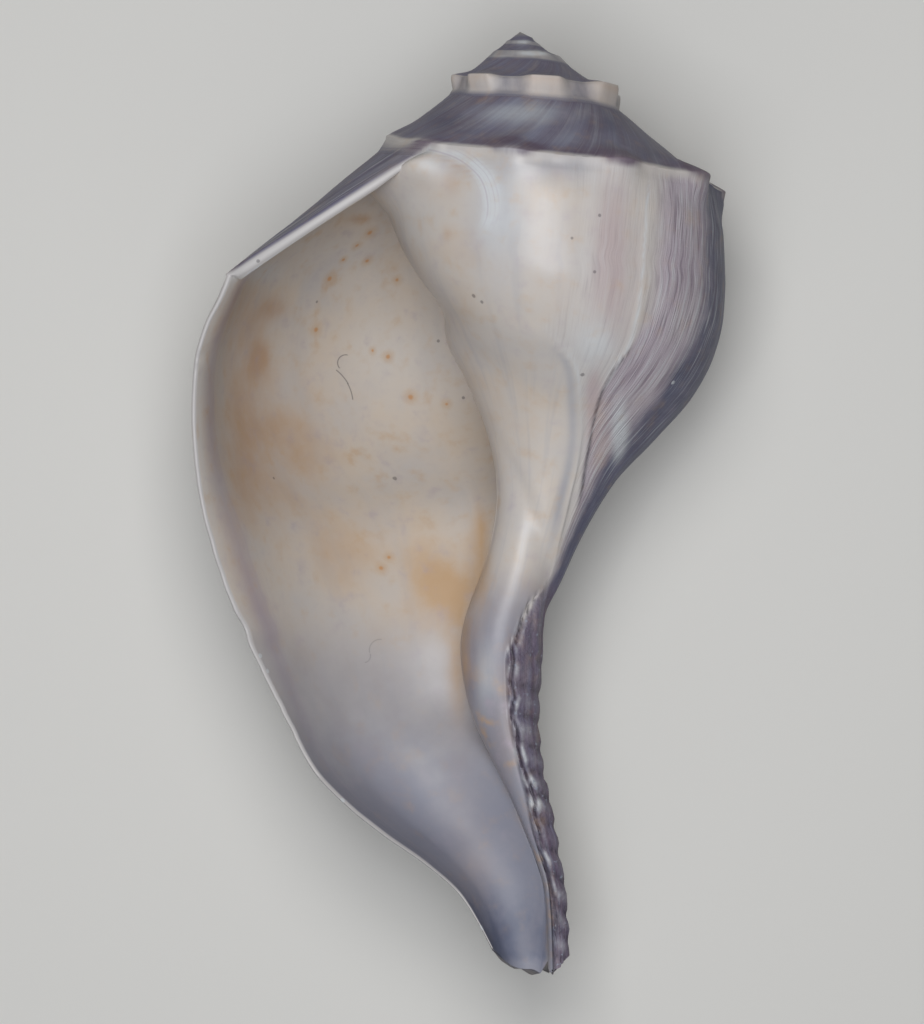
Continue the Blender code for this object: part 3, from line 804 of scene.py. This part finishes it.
    past_ridge = smooth(ridge - 3, ridge + 7 + 26 * (1 - smooth(300, 350, down)), across)
    mauve = 0.9 * on_front * past_ridge * smooth(-0.5, 3, h - top) + 0.5 * cord
    mauve += wall * 0.65 * hump(from_lip, 6.0, 4.0) * (1 - 0.4 * smooth(640, 760, down))
    mauve += 0.5 * body * smooth(-10, 20, t) * (0.5 + 0.5 * wander(age, 14, 52))

    pink = (1 - glaze) * on_front * spots(FRONT_PATCHES["pink"])
    pink += glaze * spots([(500, 720, 20, 110, 0.6)])
    pink += np.maximum(glaze, cord) * spots([(515, 838, 12, 45, 0.6)])

    tan = on_front * spots(FRONT_PATCHES["tan"])
    tan += wall * spots(WALL_PATCHES["tan"])
    tan += glaze * spots([(506, 740, 14, 70, 0.35), (519, 700, 9, 60, 0.3)])
    tan += 0.4 * outside * np.maximum(knobs, 0.5 * face) * smooth(-620, -540, t) * (1 - smooth(-340, -300, t))
    tan += 0.3 * cord * (0.5 + 0.5 * mottle(t, h, 30, 5, 37))
    tan += 0.6 * arched * hump(arch, 53, 4.0) * (1 - smooth(165, 190, down))

    gold = (wall + glaze) * spots([
        (438, 592, 34, 46, 0.8), (370, 540, 60, 50, 0.3), (300, 470, 40, 60, 0.25), (480, 545, 10, 50, 0.9),
        (458, 660, 12, 60, 0.8), (470, 860, 22, 70, 0.3)])

    # Lavender darkens the lower opening, partly its own colour and partly painted shade; its dip at (478, 680)
    # leaves the columella's pared left side lighter as painted light
    lavender = wall * (0.45 * smooth(560, 690, down) + 0.5 * smooth(700, 840, down))
    lavender += glaze * (0.5 * smooth(530, 610, down) - 0.3 * hump(down, 680, 50) * hump(across, 478, 10))
    lavender += 0.6 * on_front * (1 - cord) * smooth(560, 700, down)

    crack = 0.8 * on_front * hump(across, crack_line, 1.7 + 2.5 * smooth(870, 900, down))
    crack *= smooth(580, 608, down) * (1 - smooth(925, 950, down))
    beside_ridge = 0.7 * below_step * hump(across, ridge + 3.5, 2.0) * (1 - smooth(490, 520, down))
    # Dark: the crack, and painted shade in the seams between the fasciole's lumps
    dark = np.maximum(np.maximum(crack, 0.65 * low_cord * (1 - lump_tops) ** 2), beside_ridge)

    blue = on_front * spots(FRONT_PATCHES["blue"])
    along_edge = hump(across, edge - 9, 6.0) * smooth(335, 365, down) * (1 - smooth(500, 580, down))
    blue += 0.6 * on_front * glaze * along_edge
    blue += on_front * glaze * spots([(500, 215, 30, 60, 0.5)])
    blue += on_ramp * spots(RAMP_PATCHES["blue"])
    # Blue-grey towards the canal's end, partly painted shade
    blue += 0.45 * low * np.maximum(glaze, wall)

    # Plum on the fasciole is partly painted shade
    plum = outside * (0.45 * ramp + 0.25 * turned_right) + 0.6 * cord
    # The plum shoulder line with its painted shadows above the knobs
    plum += 2.0 * shoulder_line_and_knob_shadow * (0.8 + 0.2 * wander(t, 7, 61))

    brushed = 0.5 * ramp + 0.3 * turned_right + 0.4 * cord + 0.1 * body * smooth(0, 60, t)
    brushed += on_ramp * spots(RAMP_PATCHES["brushed"])

    # The warm cream inside the opening is kept bright: partly its colour, partly painted light against the shade
    # of the hollow
    warm = (0.6 * wall + 0.45 * glaze) * (1 - 0.6 * smooth(560, 700, down)) + 0.3 * bare
    warm += 0.8 * glaze * smooth(660, 720, down)
    shiny = 0.9 * glaze * (1 - 0.9 * on_front * spots(FRONT_PATCHES["matt"]))
    return {
        "slate": slate, "white": white, "mauve": mauve, "pink": pink, "tan": tan, "gold": gold,
        "lavender": lavender, "dark": dark, "blue": blue, "plum": plum, "warm": warm, "brushed": brushed,
        "gloss": shiny + 0.25 * wall + 0.4 * rim, "fasciole": cord, "mottled": 0.08 * wall + 0.16 * glaze,
        "banded": 0.2 * wall * (1 - smooth(8, 26, from_lip)) + 0.6 * arched * hump(arch, 62, 8),
        "lines": bare * (1 - cord) * (1 - 0.8 * face) * (0.10 - 0.01 * ramp + 0.34 * mauve),
    }


def shell_mesh(sizes):
    """The shell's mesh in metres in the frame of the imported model, with its shades as attributes."""
    form = Form(sizes)
    cage = Cage()
    lumen(cage, form, last_whorl(cage, form, spire(cage, form)))
    points, known = cage.gather()
    marks = shades(points, known)
    placed = points * (1, -1, 1) + (AXIS_X, APEX_Y, AXIS_Z)
    placed[:, 2] = np.maximum(placed[:, 2], 0.0)  # the flat spot that the shell rests on
    mesh = bpy.data.meshes.new("whelk_shell")
    mesh.from_pydata((placed * 0.001).tolist(), [], cage.faces)
    for name, values in marks.items():
        attribute = mesh.attributes.new(name, "FLOAT", "POINT")
        attribute.data.foreach_set("value", np.clip(values, 0, 1).astype(np.float32))
    across, down = in_picture(points)
    arch = arch_radius(across, down) + 3.0 * wander(down + 0.5 * across, 21, 63)
    bands = np.where(known["from_lip"] < FAR_FROM_LIP, known["from_lip"], 1.1 * arch)
    growth_lines = np.stack([known["age"], known["spiral"], bands], -1)
    attribute = mesh.attributes.new("growth", "FLOAT_VECTOR", "POINT")
    attribute.data.foreach_set("vector", growth_lines.reshape(-1).astype(np.float32))
    mesh.polygons.foreach_set("use_smooth", np.ones(len(mesh.polygons), bool))
    mesh.set_sharp_from_angle(angle=math.radians(60))
    return mesh, points


def add_node(tree, kind, inputs=None, output=0, **settings):
    """Adds a node with its settings, sets or links its inputs by name or number, and gives one output."""
    node = tree.nodes.new(kind)
    for name, value in settings.items():
        setattr(node, name, value)
    for key, value in (inputs or {}).items():
        if isinstance(value, bpy.types.NodeSocket):
            tree.links.new(value, node.inputs[key])
        else:
            node.inputs[key].default_value = value
    return node.outputs[output]


def marks_on(points, marks):
    """Middle and radius in metres of each small mark. It lies under its pixel, on the side of the shell that
    the camera sees."""
    across, down = in_picture(points)
    for a, d, radius in marks:
        off = np.hypot(across - a, down - d)
        x, h, z = points[int(np.argmax(np.where(off < max(6.0, off.min() + 1), points[:, 2], -1e3)))]
        yield (0.001 * (x + AXIS_X), 0.001 * (APEX_Y - h), 0.001 * (z + AXIS_Z)), 0.001 * radius


def aragonite_material(colours, points):
    """Aragonite, grown in thin layers by the animal. Outside it is weathered and chalky, with streaks and fine
    lines along the growth, so it looks matt. Inside and on the callus it is a fresh smooth glaze with a satin
    shine like porcelain, with rusty stains."""
    material = bpy.data.materials.new("aragonite_shell")
    material.use_nodes = True
    tree = material.node_tree
    principled = tree.nodes["Principled BSDF"]
    tint = {name: (*getattr(colours, name), 1.0) for name in ShellColours.__annotations__}
    place_on_shell = add_node(tree, "ShaderNodeTexCoord", output="Object")
    growth_lines = add_node(tree, "ShaderNodeAttribute", output="Vector", attribute_name="growth")

    # Each pattern: what it follows, how often it changes along x, y and z, and its detail. Growth is counted in
    # degrees, about 0.7 mm each, and in mm across the whorl, so most are streaks along the lip's old edges.
    patterns = {}
    for name, follows, often, detail in (
        ("fine", growth_lines, (0.55, 0.05, 0.0), 3.0),  # streaks about 1.5 mm wide
        ("hair", growth_lines, (1.7, 0.09, 0.0), 2.0),  # lines about 0.5 mm wide
        ("broad", growth_lines, (0.13, 0.025, 0.0), 3.0),  # bands about 6 mm wide
        ("drift", growth_lines, (0.075, 0.13, 0.0), 4.0),  # clouds about 10 mm long along the whorl
        ("threads", growth_lines, (0.04, 1.1, 0.0), 2.0),  # spiral threads about 1 mm apart
        ("lip_bands", growth_lines, (0.0, 0.0, 0.4), 3.0),  # bands along the inside of the lip
        ("cloud", place_on_shell, (70.0, 70.0, 70.0), 4.0),  # patches about 14 mm across
        ("flecks", place_on_shell, (230.0, 230.0, 230.0), 4.0),  # flecks about 4 mm across
        ("grain", place_on_shell, (700.0, 700.0, 700.0), 3.0),  # grain about 1.4 mm across
    ):
        stretched = add_node(tree, "ShaderNodeVectorMath", {0: follows, 1: often}, operation="MULTIPLY")
        patterns[name] = add_node(
            tree, "ShaderNodeTexNoise",
            {"Vector": stretched, "Scale": 1.0, "Detail": detail, "Roughness": 0.55})

    shade = {
        name: add_node(tree, "ShaderNodeAttribute", output="Fac", attribute_name=name)
        for name in ("mauve", "pink", "lavender", "tan", "gold", "slate", "blue", "white", "plum", "dark", "warm",
                     "lines", "gloss", "banded", "mottled", "fasciole", "brushed")
    }

    # Each layer of colour, under the next: its colour, the value that places it, where in that value it starts
    # and is full, and its strength. First the coats: each one's shade, and the pattern that breaks it up.
    layers = []
    for name, amount, pattern, broken, softness, strength in (
        ("cream_warm", "warm", "cloud", 2.0, 0.5, 1.0),
        ("mauve", "mauve", "cloud", 1.4, 0.5, 0.85),
        ("pink", "pink", "broad", 2.0, 0.5, 0.9),
        ("lavender", "lavender", "cloud", 1.2, 0.5, 1.0),
        ("tan", "tan", "cloud", 2.4, 0.5, 0.85),
        ("gold", "gold", "cloud", 2.0, 0.5, 0.8),
        ("slate", "slate", "drift", 1.2, 0.5, 1.0),
        ("slate_pale", "brushed", "drift", 3.5, 0.5, 0.85),
        ("blue", "blue", "cloud", 1.6, 0.5, 0.8),
        ("plum", "plum", "broad", 2.4, 0.5, 0.9),
        ("white", "white", "cloud", 1.2, 0.4, 0.9),
        ("dark", "dark", "grain", 1.0, 0.5, 0.9),
    ):
        uneven = add_node(
            tree, "ShaderNodeMath", {0: patterns[pattern], 1: broken, 2: 1 - 0.5 * broken},
            operation="MULTIPLY_ADD")
        uneven = add_node(tree, "ShaderNodeMath", {0: uneven, 1: shade[amount]}, operation="MULTIPLY")
        layers.append((name, uneven, 0.5 - softness, 0.5 + softness, strength))

    # Then lines, bands and flecks, each as strong as one of the shades
    for name, pattern, start, full, amount in (
        ("white", "hair", 0.54, 0.72, "lines"),
        ("plum", "hair", 0.46, 0.30, "lines"),
        ("white", "fine", 0.52, 0.68, "lines"),
        ("plum", "fine", 0.48, 0.32, "lines"),
        ("tan", "cloud", 0.50, 0.72, "mottled"),
        ("blue", "broad", 0.50, 0.30, "mottled"),
        ("blue", "grain", 0.60, 0.76, "fasciole"),
        ("mauve", "lip_bands", 0.48, 0.66, "banded"),
        ("gold", "flecks", 0.50, 0.90, "warm"),
        ("mauve", "flecks", 0.48, 0.10, "warm"),
    ):
        layers.append((name, patterns[pattern], start, full, shade[amount]))

    # Then the small marks: the distance to the nearest one in its own radii, roughened by the grain
    for name, marks, swollen, strength, soft in (
        ("gold", ORANGE_SPOTS, 2.0, 0.5, 1.0),
        ("rust", ORANGE_SPOTS, 0.7, 0.6, 0.6),
        ("dark", DARK_SPECKS, 0.9, 0.5, 0.3),
        ("white", WHITE_FLECKS, 1.0, 0.8, 0.25),
    ):
        nearest = 99.0
        for middle, radius in marks_on(points, marks):
            away = add_node(
                tree, "ShaderNodeVectorMath", {0: place_on_shell, 1: middle}, output="Value",
                operation="DISTANCE")
            radii = add_node(tree, "ShaderNodeMath", {0: away, 1: 1 / (radius * swollen)}, operation="MULTIPLY")
            nearest = add_node(tree, "ShaderNodeMath", {0: radii, 1: nearest}, operation="MINIMUM")
        ragged = add_node(tree, "ShaderNodeMath", {0: patterns["grain"], 1: nearest}, operation="ADD")
        layers.append((name, ragged, 1.5 + soft, 1.5 - soft, strength))

    # Last the fibres of dust: each bend is where the distance to its circle is least, near enough to its middle,
    # and only on the glaze
    seen_from_above = add_node(
        tree, "ShaderNodeVectorMath", {0: place_on_shell, 1: (1.0, 1.0, 0.0)}, operation="MULTIPLY")
    on_glaze = add_node(tree, "ShaderNodeMapRange", {"Value": shade["gloss"], "From Min": 0.1, "From Max": 0.2})
    for (*circle, radius), (*middle, reach), darkness in DUST_FIBRES:
        ((_, _, z), _), = marks_on(points, [(*middle, 1.0)])
        radius, reach = (0.001 * MM_PER_PIXEL * pixels for pixels in (radius, reach))
        from_circle, from_middle = (
            add_node(
                tree, "ShaderNodeVectorMath", {0: seen_from_above, 1: under_pixel(*pixel, 1000 * z - AXIS_Z)},
                output="Value", operation="DISTANCE")
            for pixel in (circle, middle))
        beside = add_node(tree, "ShaderNodeMath", {0: from_circle, 1: radius}, operation="SUBTRACT")
        beside = add_node(tree, "ShaderNodeMath", {0: beside}, operation="ABSOLUTE")
        near = add_node(
            tree, "ShaderNodeMapRange",
            {"Value": from_middle, "From Min": 1.1 * reach, "From Max": reach, "To Max": darkness})
        near = add_node(tree, "ShaderNodeMath", {0: near, 1: on_glaze}, operation="MULTIPLY")
        layers.append(("dark", beside, 0.001 * FIBRE_WIDTH, 0.0, near))

    colour = tint["cream"]
    for name, value, start, full, strength in layers:
        cover = add_node(
            tree, "ShaderNodeMapRange",
            {"Value": value, "From Min": start, "From Max": full, "To Max": strength},
            interpolation_type="SMOOTHSTEP")
        colour = add_node(
            tree, "ShaderNodeMix", {"Factor": cover, 6: colour, 7: tint[name]}, output=2, data_type="RGBA")
    tree.links.new(colour, principled.inputs["Base Color"])

    # Growth lines, spiral threads and grain, up to 0.3 mm high where the shell is weathered
    height = 0.0
    for pattern, share, amount in (
        ("hair", 0.55, "lines"), ("fine", 0.45, "lines"), ("threads", 0.15, "lines"), ("grain", 0.55, "fasciole"),
    ):
        part = add_node(tree, "ShaderNodeMath", {0: patterns[pattern], 1: shade[amount]}, operation="MULTIPLY")
        height = add_node(tree, "ShaderNodeMath", {0: part, 1: share, 2: height}, operation="MULTIPLY_ADD")
    bump = add_node(tree, "ShaderNodeBump", {"Height": height, "Strength": 0.8, "Distance": 0.0012})
    tree.links.new(bump, principled.inputs["Normal"])

    matt = add_node(tree, "ShaderNodeMath", {0: patterns["cloud"], 1: 0.2, 2: 0.46}, operation="MULTIPLY_ADD")
    rough = add_node(tree, "ShaderNodeMath", {0: shade["gloss"], 1: -0.24, 2: matt}, operation="MULTIPLY_ADD")
    tree.links.new(rough, principled.inputs["Roughness"])
    principled.inputs["IOR"].default_value = 1.53
    principled.inputs["Specular IOR Level"].default_value = 0.4
    return material


def length_property(name, description, millimetres):
    """A length that a user may change."""
    return bpy.props.FloatProperty(name=name, description=description, default=0.001 * millimetres, unit="LENGTH")


def power_property(name, description, watts):
    """A light's power that a user may change."""
    return bpy.props.FloatProperty(name=name, description=description, default=watts, min=0, unit="POWER")


def colour_property(name, description, hex_colour):
    """A colour that a user may change, with an sRGB hex default."""
    return bpy.props.FloatVectorProperty(
        name=name, description=description, default=linear(hex_colour), subtype="COLOR", size=3, min=0, max=1)


class ShellSizes(bpy.types.PropertyGroup):
    """Sizes of the shell's relief."""

    knob_height: length_property("Knob height", "How far the shoulder's knobs stand out", 2.3)
    fasciole_height: length_property("Fasciole height", "How far the cord of old canal ends stands out", 1.2)
    lump_height: length_property("Fasciole lumps", "Height of the lumps along the fasciole", 0.9)
    growth_line_height: length_property("Growth lines", "Height of the lines along the growth", 0.22)
    lamina_height: length_property("Lip layers", "Height of the layers near the lip's attachment", 0.5)
    callus_step: length_property("Callus step", "Thickness of the callus at its edge", 0.35)
    crack_depth: length_property("Crack depth", "Depth of the crack beside the fasciole", 0.7)
    lip_thickness: length_property("Lip thickness", "Thickness of the lip at its edge", 1.1)
    wall_thickness: length_property("Wall thickness", "Thickness of the wall behind the lip", 2.8)


class ShellColours(bpy.types.PropertyGroup):
    """Colours of the shell."""

    cream: colour_property("Cream", "Bare shell and glaze", "#BDBABA")
    cream_warm: colour_property("Warm cream", "Warmer clouds in the cream", "#CEC1B2")
    # White also paints light high inside the opening, on the columella and the ramp, and highlights on the
    # fasciole's lumps
    white: colour_property("White", "Knobs, new shell and the callus edge", "#C9CDD1")
    blue: colour_property("Blue-grey glaze", "Thin glaze over the darker layer", "#8E94A4")
    lavender: colour_property("Lavender", "Lower part of the opening", "#898792")
    mauve: colour_property("Mauve", "Right side of the last whorl and the band inside the lip", "#A79BA8")
    pink: colour_property("Pink tan", "Patch on the front of the last whorl", "#B2A3A4")
    tan: colour_property("Tan", "Stains inside the opening", "#B5957A")
    gold: colour_property("Yellow stain", "Stain along the columella", "#BE9A70")
    rust: colour_property("Rust", "Small spots", "#BE8040")
    # Slate also darkens the fasciole and the canal's end, partly as painted shade
    slate: colour_property("Slate", "Weathered ramp and right edge", "#454A64")
    slate_pale: colour_property("Pale slate", "Streaks on the ramp", "#7E8096")
    # Plum also paints shadows above the shoulder's knobs and shade on the fasciole
    plum: colour_property("Plum", "Brownish purple lines", "#57465A")
    # Dark also paints shade in the seams between the fasciole's lumps
    dark: colour_property("Dark", "Cracks and specks", "#2E2A33")


class StudioSettings(bpy.types.PropertyGroup):
    """The floor and the light."""

    floor_colour: colour_property("Floor", "Plain pale floor", "#DAD9D6")
    key_power: power_property("Key light", "Power of the large soft light above the apex", 1.85)
    overhead_power: power_property("Overhead light", "Power of the soft light beside the camera", 2.7)
    fill_power: power_property("Fill light", "Power of the wide soft light from the canal's side", 0.9)
    ambient: bpy.props.FloatProperty(
        name="Room light", description="Even light from all round", default=0.10, min=0)


class WHELK_OT_shell(bpy.types.Operator):
    """Builds the shell with its relief, stains and glaze in place of the plain solid"""

    bl_idname = "whelk.shell"
    bl_label = "Build shell"

    def execute(self, context):
        mesh, points = shell_mesh(context.scene.whelk_sizes)
        mesh.materials.append(aragonite_material(context.scene.whelk_colours, points))
        shell = bpy.data.objects.new("whelk_shell", mesh)
        context.scene.collection.objects.link(shell)
        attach(shell, "root")
        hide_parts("shell")
        return {"FINISHED"}


class WHELK_OT_stage(bpy.types.Operator):
    """Sets the pale floor, the soft lights and the camera above the shell"""

    bl_idname = "whelk.stage"
    bl_label = "Set stage"

    def execute(self, context):
        scene, studio = context.scene, context.scene.whelk_studio
        # Painted board: a matt skin with no shine, so the shell's soft shadow is all that shows on it
        material = bpy.data.materials.new("matt_painted_board")
        material.use_nodes = True
        principled = material.node_tree.nodes["Principled BSDF"]
        principled.inputs["Base Color"].default_value = tuple(studio.floor_colour) + (1,)
        principled.inputs["Roughness"].default_value = 0.85
        mesh = bpy.data.meshes.new("studio_floor")
        mesh.from_pydata([(-3, -3, 0), (3, -3, 0), (3, 3, 0), (-3, 3, 0)], [], [(0, 1, 2, 3)])
        mesh.materials.append(material)
        floor = bpy.data.objects.new("studio_floor", mesh)
        scene.collection.objects.link(floor)

        for name, width, colour, location in STUDIO_LIGHTS:
            lamp = bpy.data.lights.new(name + "_light", "AREA")
            lamp.energy, lamp.size, lamp.color = getattr(studio, name + "_power"), width, colour
            light = bpy.data.objects.new(name + "_light", lamp)
            light.location = location
            light.rotation_mode = "QUATERNION"
            light.rotation_quaternion = (Vector(SHELL_MIDDLE) - Vector(location)).to_track_quat("-Z", "Y")
            scene.collection.objects.link(light)
        world = bpy.data.worlds.new("even_room_light")
        world.use_nodes = True
        world.node_tree.nodes["Background"].inputs["Color"].default_value = (0.9, 0.95, 1.0, 1.0)
        world.node_tree.nodes["Background"].inputs["Strength"].default_value = studio.ambient
        scene.world = world
        scene.view_settings.view_transform = "Standard"

        right, up = camera_offset()
        lens = bpy.data.cameras.new("camera")
        lens.sensor_width = SENSOR
        lens.lens = SENSOR * CAMERA_DISTANCE / (PICTURE_HEIGHT * MM_PER_PIXEL)
        lens.clip_start = 0.01
        camera = bpy.data.objects.new("camera", lens)
        camera.location = (0.001 * (AXIS_X + right), 0.001 * (APEX_Y + up), 0.001 * (AXIS_Z + CAMERA_DISTANCE))
        camera.rotation_euler = (0, 0, -SLANT)
        scene.collection.objects.link(camera)
        scene.camera = camera
        return {"FINISHED"}


class WHELK_PT_panel(bpy.types.Panel):
    """Lists the shell's and the stage's steps"""

    bl_idname = "WHELK_PT_panel"
    bl_label = "Whelk shell"
    bl_space_type = "VIEW_3D"
    bl_region_type = "UI"
    bl_category = "Whelk shell"

    def draw(self, context):
        steps = (("whelk.shell", ("whelk_sizes", "whelk_colours")), ("whelk.stage", ("whelk_studio",)))
        for operator, groups in steps:
            box = self.layout.box()
            for group in groups:
                settings = getattr(context.scene, group)
                for name in settings.__annotations__:
                    box.prop(settings, name)
            box.operator(operator)


CLASSES = (ShellSizes, ShellColours, StudioSettings, WHELK_OT_shell, WHELK_OT_stage, WHELK_PT_panel)


def register():
    for cls in CLASSES:
        bpy.utils.register_class(cls)
    bpy.types.Scene.whelk_sizes = bpy.props.PointerProperty(type=ShellSizes)
    bpy.types.Scene.whelk_colours = bpy.props.PointerProperty(type=ShellColours)
    bpy.types.Scene.whelk_studio = bpy.props.PointerProperty(type=StudioSettings)


def unregister():
    del bpy.types.Scene.whelk_sizes
    del bpy.types.Scene.whelk_colours
    del bpy.types.Scene.whelk_studio
    for cls in reversed(CLASSES):
        bpy.utils.unregister_class(cls)


def main():
    register()
    bpy.ops.whelk.shell()
    bpy.ops.whelk.stage()


if __name__ == "__main__":
    main()
